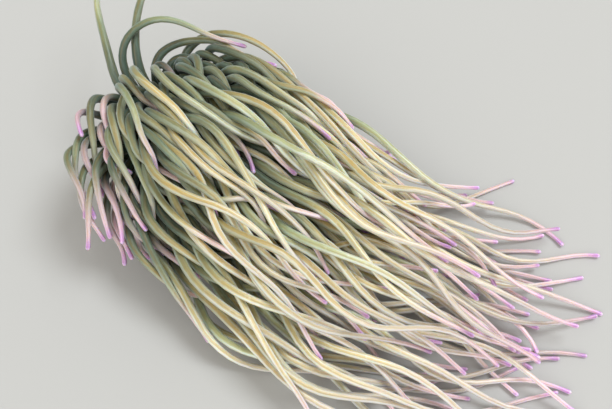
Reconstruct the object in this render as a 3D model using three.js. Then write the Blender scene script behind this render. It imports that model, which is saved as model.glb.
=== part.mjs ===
// A snakelocks sea anemone, life size, its tentacles swept to one side by a current and settling on
// the floor. Millimetres, +Z up. The origin is the centre of the foot, on the floor, and the current
// runs towards +X and -Y.
//
// The body is a foot, a column, a collar round the column's top, and an oral disc with the mouth at
// its middle. Round the mouth the disc carries six rings of tentacles. Each ring is made of tiles of
// the disc's outer layer, and a tile and the tentacles that grow from it are one solid.

import * as THREE from 'three';

// Body
const FOOT_RADIUS = 36;
const FOOT_THICKNESS = 3;
const WAIST_RADIUS = 31;
const CROWN_HEIGHT = 41; // middle of the oral disc's rim plane, above the floor
const CROWN_RADIUS = 43; // edge of the tiles
const CROWN_LEAN = 14; // degrees, towards the current's lee
const CURRENT = -33; // bearing of the current, in degrees from +X
const DISC_RISE = 8; // the domed disc: its middle above the rim plane
const DISC_FALL = 0.009; // and how it falls away, times the squared distance from the middle
const TILE_THICKNESS = 4;
const MOUTH_RADIUS = 5;
const GAP = 0.4; // between neighbouring solids

// Tentacles
const RING_RADII = [15, 20, 25, 30, 35, 40];
const RING_COUNTS = [18, 24, 30, 36, 42, 42];
const TILE_TENTACLES = [[3], [4], [5], [3], [4, 3], [4, 3]]; // tentacles on a tile, in turn round the ring
const ROOT_RADIUS = 2.5;
const TIP_RADIUS = 0.95;
const SHORTEST = 42;
const STEPS = 20; // lengths in a tentacle's line while it settles
const MOST_LENGTHS = 4; // straight lengths in its solid
const LENGTH_SLACK = 3; // how far a straight length may leave the line
const SIDES = 4;

// How tentacles lie, by the angle of the root round the mouth: the root's angle, then the tentacle's
// bearing where it leaves the disc and at its tip, its length, its pitch above level where it leaves
// the disc and at its tip, and how far it runs before it bends to them.
const RIM_STATIONS = [
  [-30, -42, -20, 176, 2, -18, 15],
  [15, -50, -16, 176, 2, -20, 15],
  [55, -64, -16, 172, -2, -20, 15],
  [85, -72, -18, 166, 2, -22, 15],
  [112, -70, -28, 156, 8, -24, 15],
  [135, -68, -44, 124, 14, -28, 18],
  [152, -82, -62, 90, 14, -34, 27],
  [185, -88, -62, 62, 10, -46, 26],
  [212, -72, -46, 54, 6, -46, 20],
  [226, -60, -30, 96, 2, -34, 15],
  [242, -62, -14, 172, 0, -24, 15],
  [270, -76, -4, 208, 0, -20, 15],
  [300, -66, -8, 210, 0, -18, 15],
  [330, -42, -20, 176, 2, -18, 15],
];
const HEART_STATIONS = [
  [-30, -48, -26, 178, 14, -20, 15],
  [60, -60, -22, 176, 8, -20, 15],
  [150, -60, -36, 154, 18, -24, 15],
  [200, -58, -32, 148, 14, -24, 15],
  [250, -66, -20, 180, 12, -24, 15],
  [330, -48, -26, 178, 14, -20, 15],
];
// Tentacles of the outer ring that stand out of the sweep, as stations of their own.
const STRAGGLERS = [
  [106.9, 20, -50, 118, 30, -30, 20],
  [115.5, 60, -60, 96, 40, -30, 16],
  [124.1, 76, -40, 92, 52, -24, 18],
  [132.6, 70, 58, 112, 84, 2, 16],
  [141.2, 100, -36, 98, 82, -16, 26],
  [149.8, 90, 108, 118, 76, -12, 18],
];
const HEART_EDGE = 22; // ring radius where the stations begin to pass from the heart's to the rim's
const HEART_BLEND = 10;
const ROOT_SPLAY = [12, 52]; // outward lean of a root: at the middle, and added by the outer ring, in degrees

// Settling
const SETTLE_ROUNDS = 120;
const SINK = 0.16; // downward drift per round at first
const CLEARANCE = 0.35;
const LARGEST_PUSH = 1.2;

const rad = THREE.MathUtils.degToRad;
const clamp = THREE.MathUtils.clamp;
const lerp = THREE.MathUtils.lerp;
const smooth = (t) => THREE.MathUtils.smoothstep(t, 0, 1);
const vec = (x, y, z) => new THREE.Vector3(x, y, z);

// A repeatable number from 0 to 1 for trait k of tentacle i.
function chance(i, k) {
  const x = Math.sin(i * 12.9898 + k * 78.233) * 43758.5453;
  return x - Math.floor(x);
}

// The crown's own frame: the oral disc's axis, leaned about the level axis across the current.
const current = rad(CURRENT);
const leanAxis = vec(-Math.sin(current), Math.cos(current), 0);
const crownTurn = new THREE.Quaternion().setFromAxisAngle(leanAxis, rad(CROWN_LEAN));
const crownMiddle = vec(0, 0, CROWN_HEIGHT);
const crownTurnBack = crownTurn.clone().invert();
const fromCrown = (p) => p.applyQuaternion(crownTurn).add(crownMiddle);

const discHeight = (r) => DISC_RISE - DISC_FALL * r * r;
const onDisc = (r, angle, sink = 0) =>
  fromCrown(vec(r * Math.cos(angle), r * Math.sin(angle), discHeight(r) - sink));

const tentacleRadius = (u) => TIP_RADIUS + (ROOT_RADIUS - TIP_RADIUS) * (1 - u);

// The column's radius at a height, with the foot's flare below and the crown's above.
const columnRadius = (z) =>
  WAIST_RADIUS +
  (FOOT_RADIUS - WAIST_RADIUS) * Math.exp(-z / 4) +
  (38 - WAIST_RADIUS) * smooth((z - 12) / 20);

// The habit of a tentacle at a root angle, between the two stations it lies between.
function habitAt(stations, angle) {
  const degrees = ((THREE.MathUtils.radToDeg(angle) + 30) % 360) - 30;
  const i = stations.findIndex((s, n) => n > 0 && degrees <= s[0]);
  const [a, b] = [stations[i - 1], stations[i]];
  const t = smooth((degrees - a[0]) / (b[0] - a[0]));
  return a.slice(1).map((v, j) => lerp(v, b[j + 1], t));
}

const direction = (bearing, pitch) =>
  vec(Math.cos(bearing) * Math.cos(pitch), Math.sin(bearing) * Math.cos(pitch), Math.sin(pitch));

// The line that tentacle i would take alone: it leaves the disc along its root's direction, then
// bends to its habit.
function freeLine(i, ring, angle) {
  const radius = RING_RADII[ring];
  const rimShare = smooth((radius - HEART_EDGE) / HEART_BLEND);
  const heart = habitAt(HEART_STATIONS, angle);
  let habit = habitAt(RIM_STATIONS, angle).map((v, j) => lerp(heart[j], v, rimShare));
  if (ring === RING_RADII.length - 1) {
    const degrees = THREE.MathUtils.radToDeg(angle);
    habit = STRAGGLERS.find((s) => Math.abs(s[0] - degrees) < 4)?.slice(1) ?? habit;
  }
  const c = (k) => chance(i, k);
  const share = c(0) < 0.35 ? 0.38 + 0.9 * c(0) : 0.72 + 0.39 * c(0);
  const length = Math.max(SHORTEST, habit[2] * share);
  const bearings = [habit[0] + 26 * (c(1) - 0.5), habit[1] + 26 * (c(2) - 0.5)];
  const pitches = [habit[3] + 16 * (c(3) - 0.5), habit[4] + 10 * (c(4) - 0.5)];
  const bend = habit[5] * (0.68 + 0.64 * c(5));
  const wave = rad(8 + 14 * c(6));
  const waveLength = 70 + 60 * c(7);
  const wavePhase = 2 * Math.PI * c(8);
  const curl = rad(110 * (c(9) - 0.5)) * (c(10) < 0.4 ? 1 : 0.25);

  const splay = rad(ROOT_SPLAY[0] + (ROOT_SPLAY[1] * radius) / RING_RADII.at(-1));
  const rootWay = direction(angle, Math.PI / 2 - splay).applyQuaternion(crownTurn);
  const step = length / STEPS;
  const line = [onDisc(radius, angle)];
  for (let k = 0; k < STEPS; k++) {
    const s = (k + 0.5) * step;
    const u = s / length;
    const swell = 2 * Math.PI * (s / waveLength);
    const bearing =
      rad(lerp(bearings[0], bearings[1], Math.min(1, 1.4 * u))) +
      wave * Math.sin(swell + wavePhase) +
      curl * u ** 4;
    const pitch =
      rad(lerp(pitches[0], pitches[1], Math.min(1, 1.6 * u))) +
      0.5 * wave * Math.sin(0.8 * swell + 1.7 * wavePhase);
    const way = direction(bearing, pitch);
    const turned = 1 - Math.exp(-((s / bend) ** 1.6));
    const heading = rootWay.clone().multiplyScalar(1 - turned).addScaledVector(way, turned);
    if (rootWay.dot(way) < 0) heading.z += 1.3 * turned * (1 - turned);
    const next = line[k].clone().addScaledVector(heading.normalize(), step);
    next.z = Math.max(next.z, tentacleRadius((k + 1) / STEPS));
    line.push(next);
  }
  return line;
}

// The nearest points of segments p1-q1 and p2-q2, as shares s and t along them.
function nearest(p1, q1, p2, q2) {
  const d1 = q1.clone().sub(p1);
  const d2 = q2.clone().sub(p2);
  const r = p1.clone().sub(p2);
  const [a, b, c, e, f] = [d1.dot(d1), d1.dot(d2), d1.dot(r), d2.dot(d2), d2.dot(r)];
  const spread = a * e - b * b;
  let s = spread > 1e-9 ? clamp((b * f - c * e) / spread, 0, 1) : 0.5;
  let t = (b * s + f) / e;
  if (t < 0) s = clamp(-c / a, 0, 1);
  if (t > 1) s = clamp((b - c) / a, 0, 1);
  t = clamp(t, 0, 1);
  const apart = p1.clone().addScaledVector(d1, s).sub(p2).addScaledVector(d2, -t);
  return { s, t, apart };
}

// Keeps a tentacle's line, of radius r there, outside the crown and the column.
function keepOffBody(p, r) {
  const reach = r + 0.4;
  const q = p.clone().sub(crownMiddle).applyQuaternion(crownTurnBack);
  const out = Math.hypot(q.x, q.y);
  const rim = CROWN_RADIUS + 3;
  const top = discHeight(Math.min(out, rim)) + reach;
  if (out < rim + reach && q.z < top && q.z > top - 14) {
    if (top - q.z < rim + reach - out) q.z = top;
    else q.multiply(vec((rim + reach) / out, (rim + reach) / out, 1));
    p.copy(fromCrown(q));
  }
  const away = Math.hypot(p.x, p.y);
  const column = columnRadius(p.z) + reach;
  if (p.z < CROWN_HEIGHT - 10 && away < column) {
    p.x *= column / away;
    p.y *= column / away;
  }
}

// Pairs of lengths of different tentacles that are near enough to touch soon.
function nearPairs(lengths, reach) {
  const pairs = [];
  for (const l of lengths) {
    l.middle = l.a.p.clone().add(l.b.p).multiplyScalar(0.5);
    l.half = l.a.p.distanceTo(l.b.p) / 2 + (l.a.r + l.b.r) / 2;
  }
  const sorted = [...lengths].sort((l, m) => l.middle.x - m.middle.x);
  const longest = Math.max(...lengths.map((l) => l.half));
  sorted.forEach((l, i) => {
    for (let j = i + 1; j < sorted.length; j++) {
      const m = sorted[j];
      if (m.middle.x - l.middle.x > l.half + longest + reach) break;
      if (l.tentacle === m.tentacle) continue;
      if (l.middle.distanceTo(m.middle) < l.half + m.half + reach) pairs.push([l, m]);
    }
  });
  return pairs;
}

// Lets the tentacles, lists of knots with a place p and a radius r, sink and push each other apart.
// The two knots at the root hold their places, and each length keeps its length and much of its bend.
function settle(tentacles, { rounds, sink, keepBend, hold }) {
  const lengths = tentacles.flatMap((knots, tentacle) =>
    knots.slice(1).map((b, k) => ({ a: knots[k], b, tentacle })),
  );
  const bendAt = (knots, k) =>
    knots[k - 1].p.clone().add(knots[k + 1].p).addScaledVector(knots[k].p, -2);
  for (const knots of tentacles)
    knots.forEach((knot, k) => {
      knot.free = hold[k] ?? 1;
      knot.push = vec(0, 0, 0);
      knot.step = k ? knot.p.distanceTo(knots[k - 1].p) : 0;
      knot.bend = k && k < knots.length - 1 ? bendAt(knots, k) : null;
    });
  let pairs = [];
  for (let round = 0; round < rounds; round++) {
    if (round % 8 === 0) pairs = nearPairs(lengths, 2.5);
    const drop = sink * Math.max(0, 1 - round / (0.6 * rounds));
    for (const knots of tentacles) for (const knot of knots.slice(2)) knot.p.z -= drop;
    for (const [l, m] of pairs) {
      const { s, t, apart } = nearest(l.a.p, l.b.p, m.a.p, m.b.p);
      const distance = apart.length();
      const room = lerp(l.a.r, l.b.r, s) + lerp(m.a.r, m.b.r, t) + CLEARANCE;
      if (distance >= room) continue;
      if (distance > 1e-6) apart.divideScalar(distance);
      else apart.set(0, 0, 1);
      apart.multiplyScalar((room - distance) / 2);
      l.a.push.addScaledVector(apart, 1 - s);
      l.b.push.addScaledVector(apart, s);
      m.a.push.addScaledVector(apart, t - 1);
      m.b.push.addScaledVector(apart, -t);
    }
    for (const knots of tentacles) {
      for (const knot of knots) {
        knot.p.addScaledVector(knot.push.clampLength(0, LARGEST_PUSH), knot.free);
        knot.push.set(0, 0, 0);
      }
      const unbend = knots.map((knot, k) =>
        knot.bend ? bendAt(knots, k).sub(knot.bend).multiplyScalar(keepBend) : null,
      );
      unbend.forEach((by, k) => {
        if (!by) return;
        if (k > 1) knots[k].p.addScaledVector(by, 0.5);
        knots[k + 1].p.addScaledVector(by, -0.25);
      });
      for (let k = 2; k < knots.length; k++) {
        const { p, r, step } = knots[k];
        keepOffBody(p, r);
        p.sub(knots[k - 1].p).setLength(step).add(knots[k - 1].p);
        p.z = Math.max(p.z, 0.93 * r);
      }
    }
  }
}

// The few knots of a line that tell its shape best.
function simplify(knots) {
  const kept = [0, knots.length - 1];
  const strayFrom = (i, j, k) => {
    const [a, b, p] = [knots[i].p, knots[j].p, knots[k].p];
    const along = b.clone().sub(a);
    const share = clamp(p.clone().sub(a).dot(along) / along.lengthSq(), 0, 1);
    return p.distanceTo(a.clone().addScaledVector(along, share));
  };
  while (kept.length <= MOST_LENGTHS) {
    let [worst, where, at] = [LENGTH_SLACK, 0, 0];
    for (let n = 1; n < kept.length; n++)
      for (let k = kept[n - 1] + 1; k < kept[n]; k++) {
        const stray = strayFrom(kept[n - 1], kept[n], k);
        if (stray > worst) [worst, where, at] = [stray, k, n];
      }
    if (!at) break;
    kept.splice(at, 0, where);
  }
  return kept.map((k) => ({ p: knots[k].p.clone(), r: knots[k].r }));
}

// Thins two lengths where they still crowd each other.
function thin(tentacles, rounds) {
  const lengths = tentacles.flatMap((knots, tentacle) =>
    knots.slice(1).map((b, k) => ({ a: knots[k], b, tentacle })),
  );
  const pairs = nearPairs(lengths, 1);
  let crowded = 0;
  for (let round = 0; round < rounds; round++) {
    crowded = 0;
    for (const [l, m] of pairs) {
      const { s, t, apart } = nearest(l.a.p, l.b.p, m.a.p, m.b.p);
      const room = lerp(l.a.r, l.b.r, s) + lerp(m.a.r, m.b.r, t) + 0.06;
      const share = apart.length() / room;
      if (share >= 1) continue;
      crowded++;
      const by = Math.max(share, 0.9);
      l.a.r *= lerp(by, 1, s);
      l.b.r *= lerp(1, by, s);
      m.a.r *= lerp(by, 1, t);
      m.b.r *= lerp(1, by, t);
    }
  }
  return crowded;
}

// A closed mesh, from loops of equal count that run counterclockwise about the way it grows.
function newShape() {
  const at = [];
  const faces = [];
  const add = (p) => at.push(p.x, p.y, Math.max(p.z, 0)) / 3 - 1;
  const loop = (points) => points.map(add);
  const triangle = (a, b, c) => faces.push(a, b, c);
  const quad = (a, b, c, d) => faces.push(a, b, c, a, c, d);
  const next = (ring, i) => ring[(i + 1) % ring.length];
  const band = (a, b) => a.forEach((v, i) => quad(v, next(a, i), next(b, i), b[i]));
  const close = (ring, point) => {
    const middle = add(point);
    ring.forEach((v, i) => faces.push(v, next(ring, i), middle));
  };
  const geometry = () => {
    const g = new THREE.BufferGeometry();
    g.setAttribute('position', new THREE.Float32BufferAttribute(at, 3));
    g.setIndex(faces);
    g.computeVertexNormals();
    return g;
  };
  return { loop, triangle, quad, band, close, geometry };
}

// A solid through rings of points, capped at both ends.
function loft(rings, bottom, top) {
  const shape = newShape();
  const loops = rings.map(shape.loop);
  loops.slice(1).forEach((ring, i) => shape.band(loops[i], ring));
  shape.close([...loops[0]].reverse(), bottom);
  shape.close(loops.at(-1), top);
  return shape.geometry();
}

const circle = (sides, place) =>
  Array.from({ length: sides }, (_, i) => place((2 * Math.PI * i) / sides));

// Adds a tentacle that grows from the loop of its root, as straight lengths between its knots.
function growTentacle(shape, root, knots, across) {
  const side = across.clone();
  let way = knots[1].p.clone().sub(knots[0].p).normalize();
  let ring = root;
  const ringAt = (middle, heading, radius) => {
    side.addScaledVector(heading, -side.dot(heading)).normalize();
    const up = heading.clone().cross(side);
    return shape.loop(
      circle(SIDES, (a) =>
        middle
          .clone()
          .addScaledVector(side, radius * Math.cos(a + Math.PI / SIDES))
          .addScaledVector(up, radius * Math.sin(a + Math.PI / SIDES)),
      ),
    );
  };
  for (let k = 1; k < knots.length; k++) {
    const { p, r } = knots[k];
    const onward = k < knots.length - 1 ? knots[k + 1].p.clone().sub(p).normalize() : way;
    const next = ringAt(p, way.clone().add(onward).normalize(), r);
    shape.band(ring, next);
    ring = next;
    way = onward;
  }
  const tip = knots.at(-1);
  shape.close(ring, tip.p.clone().addScaledVector(way, 0.9 * tip.r));
}

// A tile of the disc under a run of tentacles of one ring, with those tentacles.
function tile(ring, first, tentacles) {
  const pitch = (2 * Math.PI) / RING_COUNTS[ring];
  const offset = ring % 2 ? pitch / 2 : 0;
  const half = (r, s) => (r + s) / 2;
  const radii = RING_RADII;
  const inner = ring ? half(radii[ring - 1], radii[ring]) : half(radii[0] * 2 - radii[1], radii[0]);
  const outer = ring < radii.length - 1 ? half(radii[ring], radii[ring + 1]) : CROWN_RADIUS + GAP / 2;
  const inside = (inner + GAP / 2) / Math.cos(pitch / 2);
  const outside = outer - GAP / 2;
  const shape = newShape();
  const count = tentacles.length;
  const stations = Array.from({ length: count + 1 }, (_, j) => {
    const angle = offset + (first + j - 0.5) * pitch;
    const trim = j === 0 ? GAP / 2 : j === count ? -GAP / 2 : 0;
    const at = (r, sink) => onDisc(r, angle + trim / r, sink);
    return shape.loop([at(inside, 0), at(outside, 0), at(radii[ring], TILE_THICKNESS)]);
  });
  tentacles.forEach((knots, j) => {
    const angle = offset + (first + j) * pitch;
    const [a, b] = [stations[j], stations[j + 1]];
    const rootRadius = Math.min(knots[0].r, 0.98 * ROOT_RADIUS);
    const root = shape.loop(
      circle(SIDES, (turn) => {
        const across = rootRadius * Math.cos(turn + Math.PI / SIDES);
        const inwards = rootRadius * Math.sin(turn + Math.PI / SIDES);
        return onDisc(radii[ring] - inwards, angle + across / radii[ring]);
      }),
    );
    shape.band([b[0], a[0], a[1], b[1]], root);
    shape.quad(a[0], b[0], b[2], a[2]);
    shape.quad(b[1], a[1], a[2], b[2]);
    const across = vec(-Math.sin(angle), Math.cos(angle), 0).applyQuaternion(crownTurn);
    growTentacle(shape, root, knots, across);
  });
  const [start, end] = [stations[0], stations.at(-1)];
  shape.triangle(start[0], start[2], start[1]);
  shape.triangle(end[0], end[1], end[2]);
  return shape.geometry();
}

const anemone = new THREE.Group();
anemone.name = 'sea_anemone';
const flesh = new THREE.MeshStandardMaterial({ color: 0x9a8f86, roughness: 0.45, metalness: 0 });
const columnFlesh = new THREE.MeshStandardMaterial({ color: 0x7d6a52, roughness: 0.6, metalness: 0 });
const tentacleFlesh = new THREE.MeshStandardMaterial({ color: 0xa9a184, roughness: 0.4, metalness: 0 });
function addMesh(name, geometry, material, parent = anemone) {
  const mesh = new THREE.Mesh(geometry, material);
  mesh.name = name;
  parent.add(mesh);
}

// Foot: a thin, slightly lobed pad, flat on the floor.
const BODY_SIDES = 18;
const lobe = (a) => 1 + 0.03 * Math.cos(5 * a) + 0.02 * Math.cos(8 * a + 1);
const footRing = (r, z) =>
  circle(BODY_SIDES, (a) => vec(r * lobe(a) * Math.cos(a), r * lobe(a) * Math.sin(a), z));
addMesh(
  'foot',
  loft(
    [footRing(FOOT_RADIUS - 2, 0), footRing(FOOT_RADIUS, 1), footRing(FOOT_RADIUS - 3, FOOT_THICKNESS)],
    vec(0, 0, 0),
    vec(0, 0, FOOT_THICKNESS),
  ),
  columnFlesh,
);

// Column: level at the foot, and leaning with the crown at its top, which is domed like the disc.
const UNDER_TILES = TILE_THICKNESS + 0.6;
const columnLevels = [
  { height: FOOT_THICKNESS + GAP, radius: 33.5, leanShare: 0 },
  { height: 8, radius: 31.4, leanShare: 0.1 },
  { height: 14, radius: 32, leanShare: 0.35 },
  { height: 21, radius: 36.4, leanShare: 0.75 },
];
const levelRing = ({ height, radius, leanShare }) => {
  const lean = new THREE.Quaternion().setFromAxisAngle(leanAxis, rad(CROWN_LEAN * leanShare));
  return circle(BODY_SIDES, (a) =>
    vec(radius * Math.cos(a), radius * Math.sin(a), 0).applyQuaternion(lean).add(vec(0, 0, height)),
  );
};
const domeRing = (r) => circle(BODY_SIDES, (a) => onDisc(r, a, UNDER_TILES));
addMesh(
  'column',
  loft(
    [...columnLevels.map(levelRing), ...[CROWN_RADIUS - 0.5, 24].map(domeRing)],
    vec(0, 0, columnLevels[0].height),
    onDisc(0, 0, UNDER_TILES),
  ),
  columnFlesh,
);

// The crown's round pieces, made in its own frame.
const crown = new THREE.Group();
crown.position.copy(crownMiddle);
crown.quaternion.copy(crownTurn);
anemone.add(crown);
const COLLAR_SIDES = 16;
const turned = (profile, sides) =>
  new THREE.LatheGeometry(
    [...profile, profile[0]].map(([r, z]) => new THREE.Vector2(r, z)),
    sides,
  ).rotateX(Math.PI / 2);

// Collar: the fleshy rim that stands round the outer tentacles.
const collarInside = (CROWN_RADIUS + GAP) / Math.cos(Math.PI / COLLAR_SIDES);
addMesh(
  'collar',
  turned(
    [
      [collarInside, -14.2],
      [collarInside + 1.5, -14.8],
      [collarInside + 2.3, -12],
      [collarInside, -9.8],
    ],
    COLLAR_SIDES,
  ),
  columnFlesh,
  crown,
);

// Oral disc: its bare middle, between the mouth and the first ring of tentacles.
const bareEdge = RING_RADII[0] - (RING_RADII[1] - RING_RADII[0]) / 2 - GAP / 2;
addMesh(
  'oral_disc',
  turned(
    [
      [MOUTH_RADIUS, discHeight(MOUTH_RADIUS) - TILE_THICKNESS],
      [bareEdge, discHeight(bareEdge) - TILE_THICKNESS],
      [bareEdge, discHeight(bareEdge)],
      [MOUTH_RADIUS, discHeight(MOUTH_RADIUS)],
    ],
    COLLAR_SIDES,
  ),
  flesh,
  crown,
);

// Mouth: a low mound with a long slit.
const oval = (x, y, z) => circle(8, (a) => vec(x * Math.cos(a), y * Math.sin(a), z));
const lip = MOUTH_RADIUS - GAP;
addMesh(
  'mouth',
  loft(
    [
      oval(lip, lip, DISC_RISE - TILE_THICKNESS),
      oval(lip, lip, DISC_RISE),
      oval(0.8 * lip, 0.6 * lip, DISC_RISE + 1.4),
      oval(0.6 * lip, 0.12 * lip, DISC_RISE + 0.9),
      oval(0.5 * lip, 0.05 * lip, DISC_RISE - 0.6),
    ],
    vec(0, 0, DISC_RISE - TILE_THICKNESS),
    vec(0, 0, DISC_RISE - 0.6),
  ),
  flesh,
  crown,
);

// Tentacles: each takes its free line, they settle on each other, and straight lengths follow the
// settled lines.
const roots = RING_COUNTS.flatMap((count, ring) =>
  Array.from({ length: count }, (_, n) => ({
    ring,
    n,
    angle: (2 * Math.PI * (n + (ring % 2 ? 0.5 : 0))) / count,
  })),
);
const lines = roots.map(({ ring, angle }, i) =>
  freeLine(i + 1, ring, angle).map((p, k) => ({ p, r: tentacleRadius(k / STEPS) })),
);
settle(lines, { rounds: SETTLE_ROUNDS, sink: SINK, keepBend: 0.25, hold: [0, 0.5] });
const tentacles = lines.map(simplify);
settle(tentacles, { rounds: 160, sink: 0, keepBend: 0.05, hold: [0] });
thin(tentacles, 40);

RING_COUNTS.forEach((count, ring) => {
  const ofRing = tentacles.filter((_, i) => roots[i].ring === ring);
  const runs = TILE_TENTACLES[ring];
  for (let first = 0, n = 0; first < count; n++) {
    const run = runs[n % runs.length];
    const name = `tentacles_${ring + 1}${String.fromCharCode(97 + n)}`;
    addMesh(name, tile(ring, first, ofRing.slice(first, first + run)), tentacleFlesh);
    first += run;
  }
});

export default anemone;
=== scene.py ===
"""A snakelocks sea anemone: one skin over the CAD solids, from the rules that lay its tentacles there.

Sizes are in millimetres until the mesh is made, in the CAD part's own frame: +Z up, the origin at the
middle of the foot, the current towards +X and -Y.
"""

import math

import bpy
import numpy as np
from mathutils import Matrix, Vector


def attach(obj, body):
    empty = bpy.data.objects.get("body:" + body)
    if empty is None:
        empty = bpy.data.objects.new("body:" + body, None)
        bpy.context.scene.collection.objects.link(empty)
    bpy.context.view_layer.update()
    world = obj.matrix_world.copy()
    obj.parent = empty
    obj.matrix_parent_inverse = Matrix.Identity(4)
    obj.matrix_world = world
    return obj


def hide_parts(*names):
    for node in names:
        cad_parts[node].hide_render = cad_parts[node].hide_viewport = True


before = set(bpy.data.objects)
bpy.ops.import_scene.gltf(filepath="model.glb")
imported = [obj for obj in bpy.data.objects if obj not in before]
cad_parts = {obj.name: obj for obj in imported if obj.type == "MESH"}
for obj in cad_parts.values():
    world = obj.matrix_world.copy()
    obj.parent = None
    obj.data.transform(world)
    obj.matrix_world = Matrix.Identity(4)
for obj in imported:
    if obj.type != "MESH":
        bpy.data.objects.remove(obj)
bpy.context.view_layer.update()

MM = 0.001

# Body
WAIST_RADIUS = 31
FOOT_RADIUS = 36
FLARE_RADIUS = 38  # of the column under the crown
CROWN_HEIGHT = 41
CROWN_RADIUS = 43
CROWN_LEAN = math.radians(14)
CURRENT = math.radians(-33)
DISC_RISE = 8
DISC_FALL = 0.009
MOUTH_RADIUS = 5

# Tentacles
RING_RADII = [15, 20, 25, 30, 35, 40]
RING_COUNTS = [18, 24, 30, 36, 42, 42]
ROOT_RADIUS = 2.5
TIP_RADIUS = 0.95
STEPS = 20
# How tentacles lie, by the angle of the root round the mouth: that angle, the bearing at the root and at
# the tip, the length, the pitch at the root and at the tip, and how far they run before they bend to these.
# Those of the outer rings follow the rim, those of the inner rings the heart, and each straggler itself.
RIM_STATIONS = [
    (-30, -42, -20, 176, 2, -18, 15),
    (15, -50, -16, 176, 2, -20, 15),
    (55, -64, -16, 172, -2, -20, 15),
    (85, -72, -18, 166, 2, -22, 15),
    (112, -70, -28, 156, 8, -24, 15),
    (135, -68, -44, 124, 14, -28, 18),
    (152, -82, -62, 90, 14, -34, 27),
    (185, -88, -62, 62, 10, -46, 26),
    (212, -72, -46, 54, 6, -46, 20),
    (226, -60, -30, 96, 2, -34, 15),
    (242, -62, -14, 172, 0, -24, 15),
    (270, -76, -4, 208, 0, -20, 15),
    (300, -66, -8, 210, 0, -18, 15),
    (330, -42, -20, 176, 2, -18, 15),
]
HEART_STATIONS = [
    (-30, -48, -26, 178, 14, -20, 15),
    (60, -60, -22, 176, 8, -20, 15),
    (150, -60, -36, 154, 18, -24, 15),
    (200, -58, -32, 148, 14, -24, 15),
    (250, -66, -20, 180, 12, -24, 15),
    (330, -48, -26, 178, 14, -20, 15),
]
STRAGGLERS = [
    (106.9, 20, -50, 118, 30, -30, 20),
    (115.5, 60, -60, 96, 40, -30, 16),
    (124.1, 76, -40, 92, 52, -24, 18),
    (132.6, 70, 58, 112, 84, 2, 16),
    (141.2, 100, -36, 98, 82, -16, 26),
    (149.8, 90, 108, 118, 76, -12, 18),
]
STRAGGLER_REACH = 4  # degrees within which a root of the outer ring is a straggler's
HEART_EDGE = 22
HEART_BLEND = 10
ROOT_SPLAY = (12, 52)
SHORTEST = 42
SHORT_SHARE = 0.35  # of the tentacles, which are 0.38 to 0.7 of the habit's length
BEARING_SPREAD = 26
PITCH_SPREADS = (16, 10)
CURL_SPREAD = 110
CURLED_SHARE = 0.4  # of the tentacles, the others curl a quarter as much
HAIRPIN_RISE = 1.3

# Settling
SETTLE_ROUNDS = 120
SINK = 0.16
CLEARANCE = 0.35
PAIR_REACH = 2.5
LARGEST_PUSH = 1.2
KEEP_BEND = 0.25
PAIRS_EVERY = 8  # rounds between searches for near pairs
SINK_SHARE = 0.6  # of the rounds in which they sink
REST_HEIGHT = 0.93  # of a tentacle's line over the floor, in radii
BODY_CLEARANCE = 0.4
RIM_WIDTH = 3  # of the collar round the crown
CROWN_DEPTH = 14

# Skin
SIDES = 12
RINGS = 38
BASE_RINGS = [0.7, 1.7, 3.0, 4.6, 6.6]  # distances from the root of the rings that spread into the disc
END_RINGS = [7.0, 5.0, 3.4, 2.2, 1.3, 0.7, 0.28, 0.06]  # and of the last rings from the tip
RING_POWER = 1.12  # above 1, the rings stand closer near the root
SWELL = 0.014
SWELL_WAVES = (7.0, 13.0, 31.0)
TIP_ROUNDING = 1.15  # where the end starts to close, in radii of the tip
NECK = (-0.07, 6.5, 2.2)  # how much thicker, how far from the tip and over what length
KNOB = (0.10, 2.0, 1.6)
SQUARE_TO = 4.0  # how far up a tentacle the square outline of its base fades out


def smooth(t):
    t = np.clip(t, 0, 1)
    return t * t * (3 - 2 * t)


def chance(i, k):
    x = math.sin(i * 12.9898 + k * 78.233) * 43758.5453
    return x - math.floor(x)


def lean_matrix(angle):
    """Turns about the level axis across the current."""
    x, y = -math.sin(CURRENT), math.cos(CURRENT)
    c, s = math.cos(angle), math.sin(angle)
    k = np.array([[0, 0, y], [0, 0, -x], [-y, x, 0]])
    return np.eye(3) + s * k + (1 - c) * k @ k


TURN = lean_matrix(CROWN_LEAN)
CROWN_MIDDLE = np.array([0.0, 0.0, CROWN_HEIGHT])


def disc_height(r):
    return DISC_RISE - DISC_FALL * r * r


def on_disc(r, angle, lift=0.0):
    r, angle = np.broadcast_arrays(np.asarray(r, float), np.asarray(angle, float))
    p = np.stack([r * np.cos(angle), r * np.sin(angle), disc_height(r) + lift], axis=-1)
    return p @ TURN.T + CROWN_MIDDLE


def tentacle_radius(u):
    return TIP_RADIUS + (ROOT_RADIUS - TIP_RADIUS) * (1 - u)


def column_radius(z):
    flare = (FLARE_RADIUS - WAIST_RADIUS) * smooth((z - 12) / 20)
    return WAIST_RADIUS + (FOOT_RADIUS - WAIST_RADIUS) * np.exp(-z / 4) + flare


def habit_at(stations, angle):
    degrees = (math.degrees(angle) + 30) % 360 - 30
    for a, b in zip(stations, stations[1:]):
        if degrees <= b[0]:
            t = float(smooth((degrees - a[0]) / (b[0] - a[0])))
            return [v + (w - v) * t for v, w in zip(a[1:], b[1:])]


def direction(bearing, pitch):
    return np.array(
        [math.cos(bearing) * math.cos(pitch), math.sin(bearing) * math.cos(pitch), math.sin(pitch)]
    )


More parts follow.
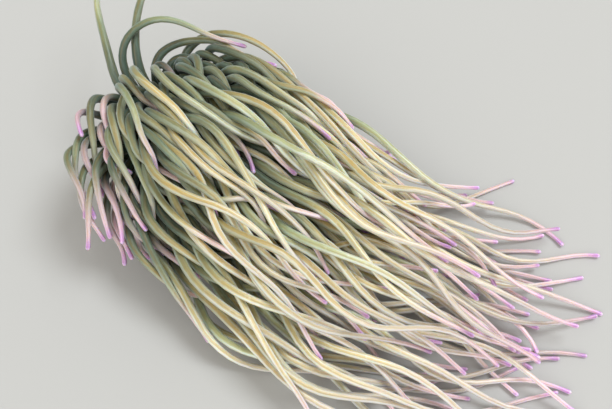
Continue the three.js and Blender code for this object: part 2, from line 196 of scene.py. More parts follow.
def free_line(i, ring, angle):
    """The line that tentacle i would take alone."""
    radius = RING_RADII[ring]
    rim_share = float(smooth((radius - HEART_EDGE) / HEART_BLEND))
    heart = habit_at(HEART_STATIONS, angle)
    habit = [h + (r - h) * rim_share for h, r in zip(heart, habit_at(RIM_STATIONS, angle))]
    if ring == len(RING_RADII) - 1:
        for straggler in STRAGGLERS:
            if abs(straggler[0] - math.degrees(angle)) < STRAGGLER_REACH:
                habit = list(straggler[1:])
                break
    c = [chance(i, k) for k in range(11)]
    length = max(SHORTEST, habit[2] * (0.38 + 0.9 * c[0] if c[0] < SHORT_SHARE else 0.72 + 0.39 * c[0]))
    bearings = [habit[0] + BEARING_SPREAD * (c[1] - 0.5), habit[1] + BEARING_SPREAD * (c[2] - 0.5)]
    pitches = [habit[3] + PITCH_SPREADS[0] * (c[3] - 0.5), habit[4] + PITCH_SPREADS[1] * (c[4] - 0.5)]
    bend = habit[5] * (0.68 + 0.64 * c[5])
    wave = math.radians(8 + 14 * c[6])
    wave_length = 70 + 60 * c[7]
    phase = 2 * math.pi * c[8]
    curl = math.radians(CURL_SPREAD * (c[9] - 0.5)) * (1 if c[10] < CURLED_SHARE else 0.25)
    splay = math.radians(ROOT_SPLAY[0] + ROOT_SPLAY[1] * radius / RING_RADII[-1])
    root_way = TURN @ direction(angle, math.pi / 2 - splay)
    step = length / STEPS
    line = [on_disc(radius, angle)]
    for k in range(STEPS):
        s = (k + 0.5) * step
        u = s / length
        swell = 2 * math.pi * s / wave_length
        bearing = (
            math.radians(bearings[0] + (bearings[1] - bearings[0]) * min(1, 1.4 * u))
            + wave * math.sin(swell + phase)
            + curl * u**4
        )
        pitch = math.radians(
            pitches[0] + (pitches[1] - pitches[0]) * min(1, 1.6 * u)
        ) + 0.5 * wave * math.sin(0.8 * swell + 1.7 * phase)
        way = direction(bearing, pitch)
        turned = 1 - math.exp(-((s / bend) ** 1.6))
        heading = root_way * (1 - turned) + way * turned
        if root_way @ way < 0:
            heading[2] += HAIRPIN_RISE * turned * (1 - turned)
        point = line[-1] + heading / np.linalg.norm(heading) * step
        point[2] = max(point[2], tentacle_radius((k + 1) / STEPS))
        line.append(point)
    return np.array(line)


def nearest(p1, q1, p2, q2):
    """The nearest points of segments, as shares along them, and the way between them."""
    d1, d2, r = q1 - p1, q2 - p2, p1 - p2
    a, b, c = (d1 * d1).sum(1), (d1 * d2).sum(1), (d1 * r).sum(1)
    e, f = (d2 * d2).sum(1), (d2 * r).sum(1)
    spread = a * e - b * b
    s = np.where(spread > 1e-9, np.clip((b * f - c * e) / np.maximum(spread, 1e-9), 0, 1), 0.5)
    t = (b * s + f) / e
    s = np.where(t < 0, np.clip(-c / a, 0, 1), np.where(t > 1, np.clip((b - c) / a, 0, 1), s))
    t = np.clip(t, 0, 1)
    return s, t, p1 + d1 * s[:, None] - p2 - d2 * t[:, None]


def keep_off_body(p, r):
    """Keeps points of tentacles, of radius r there, outside the crown and the column."""
    reach = r + BODY_CLEARANCE
    q = (p - CROWN_MIDDLE) @ TURN
    out = np.hypot(q[:, 0], q[:, 1])
    rim = CROWN_RADIUS + RIM_WIDTH
    top = disc_height(np.minimum(out, rim)) + reach
    inside = (out < rim + reach) & (q[:, 2] < top) & (q[:, 2] > top - CROWN_DEPTH)
    lift = inside & (top - q[:, 2] < rim + reach - out)
    widen = np.where(inside & ~lift, (rim + reach) / np.maximum(out, 1e-6), 1)
    q[:, 2] = np.where(lift, top, q[:, 2])
    q[:, :2] *= widen[:, None]
    p = np.where(inside[:, None], q @ TURN.T + CROWN_MIDDLE, p)
    away = np.hypot(p[:, 0], p[:, 1])
    column = column_radius(p[:, 2]) + reach
    spread = np.where((p[:, 2] < CROWN_HEIGHT - 10) & (away < column), column / np.maximum(away, 1e-6), 1)
    p[:, :2] *= spread[:, None]
    return p


def near_pairs(starts, ends, owners, radii):
    """Pairs of lengths of different tentacles that are near enough to touch soon."""
    middle = (starts + ends) / 2
    half = np.linalg.norm(ends - starts, axis=1) / 2 + radii
    order = np.argsort(middle[:, 0])
    x = middle[order, 0]
    last = np.searchsorted(x, x + half[order] + half.max() + PAIR_REACH)
    first, second = [], []
    for i, (a, stop) in enumerate(zip(order, last)):
        b = order[i + 1 : stop]
        gap = middle[b] - middle[a]
        near = ((gap * gap).sum(1) < (half[a] + half[b] + PAIR_REACH) ** 2) & (owners[b] != owners[a])
        second.append(b[near])
        first.append(np.full(near.sum(), a))
    return np.concatenate(first), np.concatenate(second)


def settle(lines):
    """Lets the tentacles sink and push each other apart, as the CAD part does."""
    count, knots, _ = lines.shape
    radii = tentacle_radius(np.arange(knots) / STEPS)
    steps = np.linalg.norm(np.diff(lines, axis=1), axis=2)
    bends = lines[:, :-2] - 2 * lines[:, 1:-1] + lines[:, 2:]
    free = np.ones(knots)
    free[:2] = 0, 0.5
    owners, k = np.divmod(np.arange(count * STEPS), STEPS)
    a = owners * knots + k
    for turn in range(SETTLE_ROUNDS):
        flat = lines.reshape(-1, 3)
        if turn % PAIRS_EVERY == 0:
            one, two = near_pairs(flat[a], flat[a + 1], owners, (radii[k] + radii[k + 1]) / 2)
        lines[:, 2:, 2] -= SINK * max(0, 1 - turn / (SINK_SHARE * SETTLE_ROUNDS))
        s, t, apart = nearest(flat[a[one]], flat[a[one] + 1], flat[a[two]], flat[a[two] + 1])
        distance = np.sqrt((apart * apart).sum(1))
        room = CLEARANCE + radii[k[one]] + (radii[k[one] + 1] - radii[k[one]]) * s
        room += radii[k[two]] + (radii[k[two] + 1] - radii[k[two]]) * t
        hit = distance < room
        first, second, s, t = one[hit], two[hit], s[hit, None], t[hit, None]
        way = apart[hit] / np.maximum(distance[hit], 1e-6)[:, None]
        shove = way * ((room - distance)[hit] / 2)[:, None]
        push = np.zeros_like(flat)
        np.add.at(push, a[first], shove * (1 - s))
        np.add.at(push, a[first] + 1, shove * s)
        np.add.at(push, a[second], shove * (t - 1))
        np.add.at(push, a[second] + 1, -shove * t)
        size = np.sqrt((push * push).sum(1))
        push *= (np.minimum(size, LARGEST_PUSH) / np.maximum(size, 1e-9))[:, None]
        lines += push.reshape(lines.shape) * free[None, :, None]
        unbend = (lines[:, :-2] - 2 * lines[:, 1:-1] + lines[:, 2:] - bends) * KEEP_BEND
        lines[:, 2:-1] += 0.5 * unbend[:, 1:]
        lines[:, 2:] -= 0.25 * unbend
        for n in range(2, knots):
            p = keep_off_body(lines[:, n].copy(), radii[n])
            along = p - lines[:, n - 1]
            along *= (steps[:, n - 1] / np.linalg.norm(along, axis=1))[:, None]
            lines[:, n] = lines[:, n - 1] + along
            lines[:, n, 2] = np.maximum(lines[:, n, 2], REST_HEIGHT * radii[n])
    return lines


roots = [
    (ring, 2 * math.pi * (n + (0.5 if ring % 2 else 0)) / count)
    for ring, count in enumerate(RING_COUNTS)
    for n in range(count)
]
lines = settle(np.array([free_line(i + 1, ring, angle) for i, (ring, angle) in enumerate(roots)]))


# The skin's vertices, with what the material reads at each, and its faces, with where each corner lies
# on the map.
at, out_at, left_at, seed_at, kind_at = [], [], [], [], []
faces, corners = [], []
TENTACLE, DISC, COLUMN = 1.0, 0.5, 0.0


def add_points(points, kind=COLUMN, out=0.0, left=100.0, seed=0.5):
    start = len(at)
    for p in np.atleast_2d(points):
        at.append((p[0], p[1], max(p[2], 0.0)))
        out_at.append(out)
        left_at.append(left)
        seed_at.append(seed)
        kind_at.append(kind)
    return list(range(start, len(at)))


def add_face(indices, places):
    faces.append(indices)
    corners.extend(places)


def strip_between(lower, upper, place):
    """Faces between two loops of equal count; place(i, row) says where corner i of a row lies on the map."""
    n = len(lower)
    for i in range(n):
        j = (i + 1) % n
        add_face(
            (lower[i], lower[j], upper[j], upper[i]),
            (place(i, 0), place(i + 1, 0), place(i + 1, 1), place(i, 1)),
        )


# The map: tentacles lie along rows of strips, four to a row, above a band with the disc, the foot and the
# column, from left to right.
MAP_COLUMNS = 4
MAP_ROWS = math.ceil(len(roots) / MAP_COLUMNS)
BODY_BAND = 0.13
MARGIN = 0.0012
BAND_SIDE = BODY_BAND - 2 * MARGIN
DISC_SPAN, FOOT_SPAN = 90, 80
FOOT_LEFT, COLUMN_LEFT, COLUMN_WIDTH = 0.14, 0.29, 0.70


def tentacle_place(number):
    row, column = divmod(number, MAP_COLUMNS)
    left, width = column / MAP_COLUMNS + MARGIN, 1 / MAP_COLUMNS - 2 * MARGIN
    height = (1 - BODY_BAND) / MAP_ROWS
    low = BODY_BAND + row * height + MARGIN
    return lambda u, v: (left + u * width, low + v * (height - 2 * MARGIN))


def disc_place(p):
    """A point of the disc, seen from above the crown."""
    q = (np.asarray(p) - CROWN_MIDDLE) @ TURN / DISC_SPAN + 0.5
    return MARGIN + q[0] * BAND_SIDE, MARGIN + q[1] * BAND_SIDE


def foot_place(p):
    q = np.asarray(p) / FOOT_SPAN + 0.5
    return FOOT_LEFT + q[0] * BAND_SIDE, MARGIN + q[1] * BAND_SIDE


def column_place(turn, down):
    return COLUMN_LEFT + COLUMN_WIDTH * turn, MARGIN + BAND_SIDE * (1 - down)


def curve_through(points, x):
    """Places and ways along a smooth curve through points, at x from 0 to their number less 1."""
    padded = np.vstack([2 * points[0] - points[1], points, 2 * points[-1] - points[-2]])
    k = np.minimum(x.astype(int), len(points) - 2)
    t = (x - k)[:, None]
    a, b, c, d = padded[k], padded[k + 1], padded[k + 2], padded[k + 3]
    second, third = 2 * a - 5 * b + 4 * c - d, 3 * b - a - 3 * c + d
    place = 0.5 * (2 * b + (c - a) * t + second * t**2 + third * t**3)
    way = 0.5 * (c - a + 2 * second * t + 3 * third * t**2)
    return place, way


def centre_curve(line, distances):
    """Points and headings along a tentacle's line of even steps, slightly smoothed."""
    eased = line.copy()
    eased[1:-1] += 0.2 * (line[:-2] - 2 * line[1:-1] + line[2:])
    step = np.linalg.norm(np.diff(line, axis=0), axis=1).mean()
    place, way = curve_through(eased, np.clip(np.asarray(distances) / step, 0, STEPS - 1e-6))
    return place, way / np.linalg.norm(way, axis=1)[:, None]


def ring_distances(length):
    middle = RINGS - len(BASE_RINGS) - len(END_RINGS)
    first, last = BASE_RINGS[-1], length - END_RINGS[0]
    shares = (np.arange(1, middle + 1) / (middle + 1)) ** RING_POWER
    return np.concatenate([BASE_RINGS, first + (last - first) * shares, length - np.array(END_RINGS)])


def skin_radius(i, s, length):
    """A tentacle's radius at distance s: the taper, its own slow swellings, and a rounded, swollen tip."""
    u = s / length
    r = tentacle_radius(np.clip(u, 0, 1))
    for k, wave in enumerate(SWELL_WAVES):
        turns = s / (wave * (0.8 + 0.4 * chance(i, 20 + k))) + chance(i, 30 + k)
        r = r * (1 + SWELL * np.sin(2 * math.pi * turns))
    left = length - s
    neck, knob = (more * np.exp(-(((left - place) / span) ** 2)) for more, place, span in (NECK, KNOB))
    r = r * (1 + neck + knob)
    end = TIP_RADIUS * TIP_ROUNDING
    return r * np.where(left < end, np.sqrt(np.maximum(1 - (1 - left / end) ** 2, 0.0)), 1)


def grow_tentacle(number, ring, angle, base):
    """The skin of one tentacle, from the loop of its base on the disc to its tip."""
    i = number + 1
    line = lines[number]
    length = np.linalg.norm(np.diff(line, axis=0), axis=1).sum()
    seed = chance(i, 40)
    distances = ring_distances(length)
    centres, ways = centre_curve(line, distances)
    radii = skin_radius(i, distances, length)
    normal = TURN @ direction(angle, math.pi / 2 - math.atan(2 * DISC_FALL * RING_RADII[ring]))
    side = TURN @ np.array([-math.sin(angle), math.cos(angle), 0.0])
    base_points = np.array([at[v] for v in base])
    root = on_disc(RING_RADII[ring], angle)
    turns = np.pi / 4 + 2 * np.pi * np.arange(SIDES) / SIDES
    flatten = 0.04 * math.sin(2 * math.pi * chance(i, 41))
    place = tentacle_place(number)
    lower, lower_u = base, 0.0
    for centre, way, r, s in zip(centres, ways, radii, distances):
        spread = float(smooth(s / 5.0))
        facing = normal * (1 - spread) + way * spread
        facing /= np.linalg.norm(facing)
        side = side - facing * (side @ facing)
        side /= np.linalg.norm(side)
        up = np.cross(facing, side)
        loop = centre + r * (
            (1 + flatten) * np.cos(turns)[:, None] * side + (1 - flatten) * np.sin(turns)[:, None] * up
        )
        if s < SQUARE_TO:
            squared = (1 - float(smooth((s + 0.6) / (SQUARE_TO + 0.4)))) * 0.9
            loop = loop * (1 - squared) + (base_points + (centre - root)) * squared
        u = s / length
        upper = add_points(loop, TENTACLE, s, length - s, seed)
        strip_between(lower, upper, lambda c, row, u0=lower_u, u1=u: place(u1 if row else u0, c / SIDES))
        lower, lower_u = upper, u
    tip = add_points(centres[-1] + ways[-1] * 0.05, TENTACLE, length, 0.0, seed)[0]
    for c in range(SIDES):
        add_face(
            (lower[c], lower[(c + 1) % SIDES], tip),
            (place(lower_u, c / SIDES), place(lower_u, (c + 1) / SIDES), place(1.0, (c + 0.5) / SIDES)),
        )


def zip_loops(inner, outer):
    """Faces between two loops of the disc that differ in count."""

    def angle_of(v):
        q = (np.array(at[v]) - CROWN_MIDDLE) @ TURN
        return math.atan2(q[1], q[0]) % (2 * math.pi)

    def sorted_loop(loop):
        turned = sorted(loop, key=angle_of)
        return turned, [angle_of(v) for v in turned]

    a, a_angles = sorted_loop(inner)
    b, b_angles = sorted_loop(outer)
    a_angles.append(a_angles[0] + 2 * math.pi)
    b_angles.append(b_angles[0] + 2 * math.pi)
    i = j = 0
    while i < len(a) or j < len(b):
        next_a, next_b = a_angles[min(i + 1, len(a))], b_angles[min(j + 1, len(b))]
        va, vb = a[i % len(a)], b[j % len(b)]
        if j >= len(b) or (i < len(a) and next_a < next_b):
            face = (va, vb, a[(i + 1) % len(a)])
            i += 1
        else:
            face = (va, vb, b[(j + 1) % len(b)])
            j += 1
        add_face(face, [disc_place(at[v]) for v in face])


# The tentacles' bases share the disc between them, and meet in creases.
PER_SECTOR = SIDES // 4  # a base is square, with this many edges on each side
CREASE = -0.5
CREASE_HALF = 0.25
BARE_MARGIN = 2.6
inner_loops, outer_loops = [], []
number = 0
for ring, (radius, count) in enumerate(zip(RING_RADII, RING_COUNTS)):
    pitch = 2 * math.pi / count
    offset = pitch / 2 if ring % 2 else 0
    last = ring == len(RING_RADII) - 1
    inside = (RING_RADII[ring - 1] + radius) / 2 + CREASE_HALF if ring else radius - BARE_MARGIN
    outside = CROWN_RADIUS if last else (RING_RADII[ring + 1] + radius) / 2 - CREASE_HALF
    angles = offset - pitch / 2 + pitch * np.arange(PER_SECTOR * count) / PER_SECTOR
    inner = add_points(on_disc(inside, angles, CREASE), TENTACLE)
    outer = add_points(on_disc(outside, angles, CREASE), TENTACLE)
    across = inside + (outside - inside) * np.arange(1, PER_SECTOR) / PER_SECTOR
    sides = [add_points(on_disc(across, angles[PER_SECTOR * b], CREASE), TENTACLE) for b in range(count)]
    for b in range(count):
        here = [(PER_SECTOR * b + k) % len(inner) for k in range(PER_SECTOR + 1)]
        base = [inner[k] for k in reversed(here)] + sides[b] + [outer[k] for k in here]
        base += list(reversed(sides[(b + 1) % count]))
        grow_tentacle(number, ring, offset + pitch * b, base)
        number += 1
    inner_loops.append(inner)
    outer_loops.append(outer)
for inner, outer in zip(outer_loops, inner_loops[1:]):
    zip_loops(inner, outer)

# The bare middle of the disc, finely furrowed, and the mouth with its two lips.
disc_loop = inner_loops[0]
angles = 2 * math.pi * np.arange(len(disc_loop)) / len(disc_loop) - math.pi / RING_COUNTS[0]
lip = MOUTH_RADIUS - 0.4
MOUTH_LOOPS = [  # half length, half width, height above the disc's middle
    (lip * 1.1, lip * 1.0, 0.15),
    (lip, lip * 0.85, 0.8),
    (lip * 0.85, lip * 0.6, 1.35),
    (lip * 0.72, lip * 0.36, 1.35),
    (lip * 0.64, lip * 0.17, 0.9),
    (lip * 0.58, lip * 0.08, 0.2),
    (lip * 0.5, lip * 0.04, -0.6),
]
BARE_RADII = (11.9, 11.0, 10.0, 9.0, 8.0, 7.0, 6.1)
FURROW = 0.22
disc_loops = []
for r in BARE_RADII:
    furrow = FURROW * np.cos(RING_COUNTS[0] * angles) * (1 - abs(r - 9) / 6)
    disc_loops.append(on_disc(r, angles, furrow))
for x, y, lift in MOUTH_LOOPS:
    pucker = 1 + 0.03 * np.cos(12 * angles)
    heights = np.full(len(angles), DISC_RISE + lift)
    q = np.stack([x * pucker * np.cos(angles), y * pucker * np.sin(angles), heights], 1)
    disc_loops.append(q @ TURN.T + CROWN_MIDDLE)


def fill_between(outer, inner, place):
    for i in range(len(outer)):
        j = (i + 1) % len(outer)
        face = (outer[i], outer[j], inner[j], inner[i])
        add_face(face, [place(at[v]) for v in face])


def fan(loop, middle, place):
    for i, v in enumerate(loop):
        face = (v, loop[(i + 1) % len(loop)], middle)
        add_face(face, [place(at[w]) for w in face])


for points in disc_loops:
    loop = add_points(points, DISC)
    fill_between(disc_loop, loop, disc_place)
    disc_loop = loop
fan(disc_loop, add_points(np.mean(disc_loops[-1], axis=0), DISC)[0], disc_place)


def local(z):
    return CROWN_HEIGHT + z * math.cos(CROWN_LEAN)


# The collar, the column and the foot, down from the disc's edge.
PROFILE = [  # radius, height of the loop's middle, share of the lean
    (43.0, local(-9.6), 1.0),
    (43.8, local(-9.4), 1.0),
    (44.9, local(-9.8), 1.0),
    (45.8, local(-11.0), 1.0),
    (45.9, local(-12.6), 1.0),
    (44.9, local(-14.2), 1.0),
    (42.6, local(-15.8), 0.98),
    (39.8, 24.7, 0.9),
    (37.2, 22.2, 0.78),
    (34.9, 19.3, 0.62),
    (33.1, 16.0, 0.45),
    (31.9, 12.8, 0.3),
    (31.3, 9.6, 0.18),
    (31.7, 6.8, 0.08),
    (33.1, 4.4, 0.03),
    (34.8, 2.9, 0.0),
    (36.0, 1.9, 0.0),
    (36.4, 1.0, 0.0),
    (35.8, 0.25, 0.0),
    (34.4, 0.0, 0.0),
]
PROFILE_FINE = 2
WRINKLE = 0.3
RIBS, RIB = 24, 0.3
SCALLOPS, SCALLOP = 21, 0.35
FOOT_RADII = (26, 18, 9)  # of the loops under the foot
last = len(PROFILE) - 1
profile, _ = curve_through(np.array(PROFILE), np.linspace(0, last, PROFILE_FINE * last + 1)[1:])
count = PER_SECTOR * RING_COUNTS[-1]
angles = 2 * math.pi * np.arange(count) / count
lobes = 0.03 * np.cos(5 * angles) + 0.02 * np.cos(8 * angles + 1)
loop = outer_loops[-1]
for n, (r, z, share) in enumerate(profile):
    low = float(smooth((6 - z) / 5))
    mid = float(smooth((26 - z) / 6) * smooth((z - 3) / 4))
    wrinkle = WRINKLE * math.sin(1.9 * z) * np.cos(3 * angles + 0.4 * z)
    rib = RIB * np.cos(RIBS * angles + 0.8 * np.sin(z * 0.3))
    rim = float(np.exp(-(((z - local(-12)) / 2.5) ** 2)))
    scallop = SCALLOP * np.cos(SCALLOPS * angles)
    radii = r * (1 + low * lobes) + mid * (wrinkle + rib) + rim * scallop
    drift = share * math.tan(CROWN_LEAN) * (z - CROWN_HEIGHT)
    middle = np.array([math.cos(CURRENT) * drift, math.sin(CURRENT) * drift, z])
    ring_points = np.stack([radii * np.cos(angles), radii * np.sin(angles), np.zeros(count)], 1)
    upper = add_points(ring_points @ lean_matrix(CROWN_LEAN * share).T + middle)
    strip_between(
        [loop[-i] for i in range(count)],
        [upper[-i] for i in range(count)],
        lambda i, row, n=n: column_place(1 - i / count, (n + row) / len(profile)),
    )
    loop = upper
for r in FOOT_RADII:
    upper = add_points(np.stack([r * np.cos(angles), r * np.sin(angles), np.zeros(count)], 1))
    fill_between(loop[::-1], upper[::-1], foot_place)
    loop = upper
fan(loop[::-1], add_points([0.0, 0.0, 0.0])[0], foot_place)

mesh = bpy.data.meshes.new("anemone_skin")
mesh.from_pydata([tuple(c * MM for c in p) for p in at], [], faces)
mesh.polygons.foreach_set("use_smooth", [True] * len(mesh.polygons))
uv_map = mesh.uv_layers.new(name="OFBake")
uv_map.data.foreach_set("uv", np.array(corners, dtype=np.float32).ravel())
for name, values in (("out", out_at), ("left", left_at), ("seed", seed_at), ("kind", kind_at)):
    mesh.attributes.new(name, "FLOAT", "POINT").data.foreach_set("value", np.array(values, dtype=np.float32))
mesh.update()
mesh.validate(verbose=True)
skin = bpy.data.objects.new("anemone_skin", mesh)
bpy.context.scene.collection.objects.link(skin)


# Materials
ROOT_SPAN, TIP_SPAN = 200, 60  # how far from the root and from the tip the scales of colour run
STRIPES, STRIPE_WANDER = 4, 8.0
COLUMN_LINES, COLUMN_LINE_WANDER = 48, 9
COLUMN_SPAN = 0.06  # metres
GREEN_FROM, OCHRE_TO = 0.76, 0.26  # shares of the tentacles that are tinted
GREEN, OCHRE = (0.34, 0.46, 0.27, 1), (0.50, 0.34, 0.10, 1)
PINK, PALE_PINK = (0.76, 0.46, 0.57, 1), (0.88, 0.66, 0.80, 1)
PURPLE, LILAC = (0.46, 0.19, 0.62, 1), (0.74, 0.55, 0.86, 1)
BROWN_LINE = (0.22, 0.14, 0.03, 1)
COLUMN_PALE, WART = (0.40, 0.35, 0.24, 1), (0.46, 0.42, 0.32, 1)
COLUMN_RIM = (0.105, 0.125, 0.065, 1)


def new_material(name):
    material = bpy.data.materials.new(name)
    material.use_nodes = True
    nodes = material.node_tree.nodes
    nodes.clear()
    return material, nodes, material.node_tree.links


material, nodes, links = new_material("anemone_flesh")


def node(type_name, **settings):
    made = nodes.new(type_name)
    for key, value in settings.items():
        setattr(made, key, value)
    return made


def feed(socket, value):
    if isinstance(value, bpy.types.NodeSocket):
        links.new(value, socket)
    else:
        socket.default_value = value


def read(name):
    return node("ShaderNodeAttribute", attribute_name=name).outputs["Fac"]


def maths(operation, a, b=0.0, c=0.0):
    made = node("ShaderNodeMath", operation=operation)
    for socket, value in zip(made.inputs, (a, b, c)):
        feed(socket, value)
    return made.outputs[0]


def ramp(value, stops):
    """A smooth scale of colours or shares, by their places from 0 to 1."""
    made = node("ShaderNodeValToRGB")
    made.color_ramp.interpolation = "EASE"
    elements = made.color_ramp.elements
    while len(elements) < len(stops):
        elements.new(0.5)
    for element, (place, colour) in zip(elements, stops):
        element.position = place
        element.color = (*colour, 1) if isinstance(colour, tuple) else (colour, colour, colour, 1)
    feed(made.inputs[0], value)
    return made.outputs[0]


def blend(a, b, share, mode="MIX"):
    made = node("ShaderNodeMix", data_type="RGBA", blend_type=mode)
    feed(made.inputs["Factor"], share)
    feed(made.inputs["A"], a)
    feed(made.inputs["B"], b)
    return made.outputs["Result"]


def noise(scale, detail):
    made = node("ShaderNodeTexNoise")
    made.inputs["Scale"].default_value = scale
    made.inputs["Detail"].default_value = detail
    made.inputs["Roughness"].default_value = 0.55
    feed(made.inputs["Vector"], place)
    return made.outputs["Fac"]


def apart(vector):
    """A vector's X, Y and Z."""
    made = node("ShaderNodeSeparateXYZ")
    feed(made.inputs[0], vector)
    return made.outputs


out, left, seed, kind = read("out"), read("left"), read("seed"), read("kind")
texture_place = node("ShaderNodeTexCoord")
place = texture_place.outputs["Object"]
facing = apart(texture_place.outputs["Normal"])
coarse = noise(55, 3)
fine = noise(520, 4)
seed_two = maths("FRACT", maths("MULTIPLY", seed, 7.31))
seed_three = maths("FRACT", maths("MULTIPLY", seed, 23.7))

# How far round a tentacle a point is, from its place across its strip of the map.
across = apart(node("ShaderNodeUVMap", uv_map="OFBake").outputs[0])
row_height = (1 - BODY_BAND) / MAP_ROWS
in_row = maths("FRACT", maths("MULTIPLY_ADD", across["Y"], 1 / row_height, -BODY_BAND / row_height))
edge = MARGIN / row_height
around = maths("MULTIPLY_ADD", in_row, 1 / (1 - 2 * edge), -edge / (1 - 2 * edge))


def stripes(phase):
    """From -1 to 1 and back round a tentacle, along wandering lines."""
    turn = maths("MULTIPLY_ADD", around, 2 * math.pi * STRIPES, phase)
    turn = maths("ADD", turn, maths("MULTIPLY", coarse, STRIPE_WANDER))
    return maths("COSINE", turn)


from_root = maths("MULTIPLY", out, 1 / ROOT_SPAN)
from_tip = maths("MULTIPLY", left, 1 / TIP_SPAN)
shift = maths("MULTIPLY_ADD", seed, 0.14, -0.07)
wander = maths("MULTIPLY_ADD", coarse, 0.16, -0.08)
reach = maths("ADD", maths("ADD", from_root, shift), wander)
# The flesh's colour along a tentacle: its own olive green at the root, through cream to pink-brown, with the
# first part darkened near to black as painted shade.
flesh_and_painted_light = ramp(
    reach,
    [
        (0.0, (0.030, 0.042, 0.028)),
        (0.10, (0.056, 0.076, 0.042)),
        (0.21, (0.175, 0.180, 0.078)),
        (0.33, (0.420, 0.350, 0.145)),
        (0.46, (0.620, 0.510, 0.275)),
        (0.64, (0.600, 0.515, 0.385)),
        (0.90, (0.490, 0.405, 0.360)),
    ],
)
# The paler wall's colour, for its streaks and speckles and for the painted rim light on the flanks; near
# black at the roots as painted shade.
pale_wall_and_rim_light = ramp(
    reach,
    [
        (0.0, (0.060, 0.105, 0.082)),
        (0.13, (0.135, 0.195, 0.150)),
        (0.26, (0.420, 0.490, 0.410)),
        (0.42, (0.800, 0.880, 0.870)),
        (0.70, (0.740, 0.760, 0.810)),
    ],
)
green = ramp(from_root, [(0.1, 0.0), (0.35, 0.5), (0.8, 0.0)])
green = maths("MULTIPLY", maths("GREATER_THAN", seed_three, GREEN_FROM), green)
flesh_and_painted_light = blend(flesh_and_painted_light, GREEN, green)
ochre = ramp(from_root, [(0.1, 0.0), (0.3, 0.5), (0.7, 0.0)])
ochre = maths("MULTIPLY", maths("LESS_THAN", seed_three, OCHRE_TO), ochre)
flesh_and_painted_light = blend(flesh_and_painted_light, OCHRE, ochre)
# The last part is flushed pink, the end is purple and its knob lilac.
flush_place = maths("MULTIPLY_ADD", seed_two, -0.15, from_tip)
flush = ramp(flush_place, [(0.0, 0.8), (0.12, 0.6), (0.5, 0.0)])
flesh_and_painted_light = blend(flesh_and_painted_light, PINK, flush)
pale_wall_and_rim_light = blend(pale_wall_and_rim_light, PALE_PINK, flush)
end_place = maths("DIVIDE", from_tip, maths("MULTIPLY_ADD", seed_three, 1.1, 0.4))
end = ramp(end_place, [(0.03, 0.8), (0.16, 0.0)])
flesh_and_painted_light = blend(flesh_and_painted_light, PURPLE, end)
knob = ramp(from_tip, [(0.012, 0.75), (0.03, 0.0)])
flesh_and_painted_light = blend(flesh_and_painted_light, LILAC, knob)
# Painted rim light: by the way each face turns, the flanks are painted with the paler wall colour, as
# translucent tissue lights up at its edges, faces turned level or down get less of it as painted shade in
# the crevices, and tops keep the darker core. The paler wall also shows in streaks along.
painted_rim_light = ramp(facing["Z"], [(0.0, 0.25), (0.3, 0.62), (0.6, 0.62), (0.92, 0.0)])
painted_rim_light = maths("MULTIPLY", painted_rim_light, maths("SUBTRACT", 1.0, end))
flesh_and_painted_light = blend(flesh_and_painted_light, pale_wall_and_rim_light, painted_rim_light)
streak = ramp(stripes(0.0), [(0.4, 0.0), (1.0, 1.0)])
flesh_and_painted_light = blend(flesh_and_painted_light, pale_wall_and_rim_light, maths("MULTIPLY", streak, 0.45))
dark_line = ramp(stripes(math.pi), [(0.5, 0.0), (1.0, 1.0)])
flesh_and_painted_light = blend(flesh_and_painted_light, BROWN_LINE, maths("MULTIPLY", dark_line, 0.28))
speckle = ramp(fine, [(0.54, 0.0), (0.66, 1.0)])
flesh_and_painted_light = blend(flesh_and_painted_light, pale_wall_and_rim_light, maths("MULTIPLY", speckle, 0.15))
tone = maths("MULTIPLY_ADD", seed_two, 0.3, 0.88)
flesh_and_painted_light = blend(flesh_and_painted_light, tone, 1.0, "MULTIPLY")
# The column: olive brown, with paler lines down it and pale warts, and greener at its rim.
point = apart(place)
bearing = maths("ARCTAN2", point["Y"], point["X"])
column = ramp(
    noise(90, 5),
    [
        (0.3, (0.105, 0.082, 0.045)),
        (0.5, (0.165, 0.128, 0.074)),
        (0.7, (0.240, 0.190, 0.120)),
    ],
)
line_turn = maths("MULTIPLY_ADD", bearing, COLUMN_LINES, maths("MULTIPLY", coarse, COLUMN_LINE_WANDER))
lines_down = ramp(maths("COSINE", line_turn), [(0.3, 0.0), (0.95, 0.4)])
column = blend(column, COLUMN_PALE, lines_down)
column = blend(column, WART, ramp(noise(330, 1), [(0.60, 0.0), (0.68, 0.5)]))
rim = ramp(maths("MULTIPLY", point["Z"], 1 / COLUMN_SPAN), [(0.45, 0.0), (0.75, 0.6)])
column = blend(column, COLUMN_RIM, rim)
disc = ramp(noise(150, 4), [(0.35, (0.10, 0.095, 0.05)), (0.65, (0.25, 0.22, 0.13))])
colour = blend(column, disc, maths("GREATER_THAN", kind, (COLUMN + DISC) / 2))
colour = blend(colour, flesh_and_painted_light, ramp(kind, [(0.6, 0.0), (0.9, 1.0)]))
bump = node("ShaderNodeBump")
for name, value in (("Strength", 0.25), ("Distance", 0.0005), ("Height", fine)):
    feed(bump.inputs[name], value)
surface = node("ShaderNodeBsdfPrincipled")
for name, value in (
    ("Base Color", colour),
    ("Roughness", 0.48),
    ("Subsurface Weight", 0.6),
    ("Subsurface Radius", (1.0, 0.7, 0.35)),
    ("Subsurface Scale", 0.003),
    ("Coat Weight", 0.15),
    ("Coat Roughness", 0.22),
    ("Sheen Weight", 0.3),
    ("Sheen Roughness", 0.4),
    ("Sheen Tint", (0.84, 0.93, 1.0, 1)),
    ("Normal", bump.outputs[0]),
):
    feed(surface.inputs[name], value)
output = node("ShaderNodeOutputMaterial")
links.new(surface.outputs[0], output.inputs["Surface"])
mesh.materials.append(material)

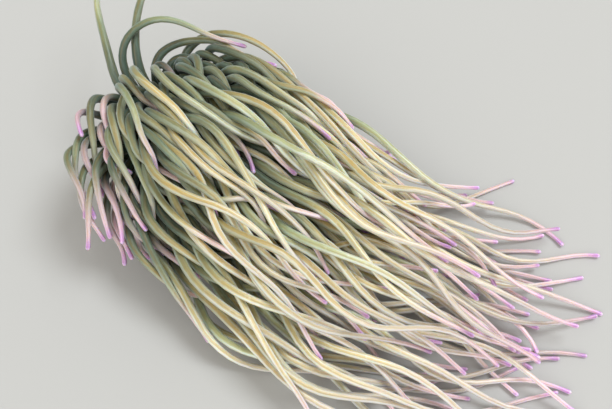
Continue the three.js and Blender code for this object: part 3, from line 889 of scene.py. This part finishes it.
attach(skin, "root")
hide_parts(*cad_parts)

# Floor, lights and camera
FLOOR = 20.0
floor_mesh = bpy.data.meshes.new("floor")
floor_mesh.from_pydata(
    [(-FLOOR, -FLOOR, 0), (FLOOR, -FLOOR, 0), (FLOOR, FLOOR, 0), (-FLOOR, FLOOR, 0)], [], [(0, 1, 2, 3)]
)
floor = bpy.data.objects.new("floor", floor_mesh)
bpy.context.scene.collection.objects.link(floor)
floor_material, nodes, links = new_material("floor_pale")
surface = node("ShaderNodeBsdfPrincipled")
surface.inputs["Base Color"].default_value = (0.45, 0.45, 0.445, 1)
surface.inputs["Roughness"].default_value = 0.8
links.new(surface.outputs[0], node("ShaderNodeOutputMaterial").inputs["Surface"])
floor_mesh.materials.append(floor_material)


def sun_light(name, place, power, colour, angle):
    data = bpy.data.lights.new(name, "SUN")
    data.energy, data.color, data.angle = power, colour, angle
    lamp = bpy.data.objects.new(name, data)
    lamp.location = place
    lamp.rotation_euler = Vector(place).to_track_quat("Z", "Y").to_euler()
    bpy.context.scene.collection.objects.link(lamp)


sun_light("key", (0.42, 0.14, 0.90), 1.9, (0.93, 0.98, 1.0), 0.45)
sun_light("fill", (-0.4, -0.6, 0.7), 0.9, (1.0, 0.98, 0.94), 0.9)
world = bpy.data.worlds.new("studio")
world.use_nodes = True
background = world.node_tree.nodes["Background"]
background.inputs["Color"].default_value = (0.94, 0.91, 0.85, 1)
background.inputs["Strength"].default_value = 0.80
bpy.context.scene.world = world
bpy.context.scene.view_settings.view_transform = "Standard"

CAMERA_AIM = Vector((0.053, -0.026, 0.022))
CAMERA_DISTANCE = 0.430
CAMERA_ELEVATION = math.radians(60)
camera_data = bpy.data.cameras.new("camera")
camera_data.lens = 50
camera_data.sensor_width = 36
camera_data.clip_start = 0.01
camera = bpy.data.objects.new("camera", camera_data)
back = Vector((0, -math.cos(CAMERA_ELEVATION), math.sin(CAMERA_ELEVATION)))
camera.location = CAMERA_AIM + back * CAMERA_DISTANCE
camera.rotation_euler = (-back).to_track_quat("-Z", "Y").to_euler()
bpy.context.scene.collection.objects.link(camera)
bpy.context.scene.camera = camera
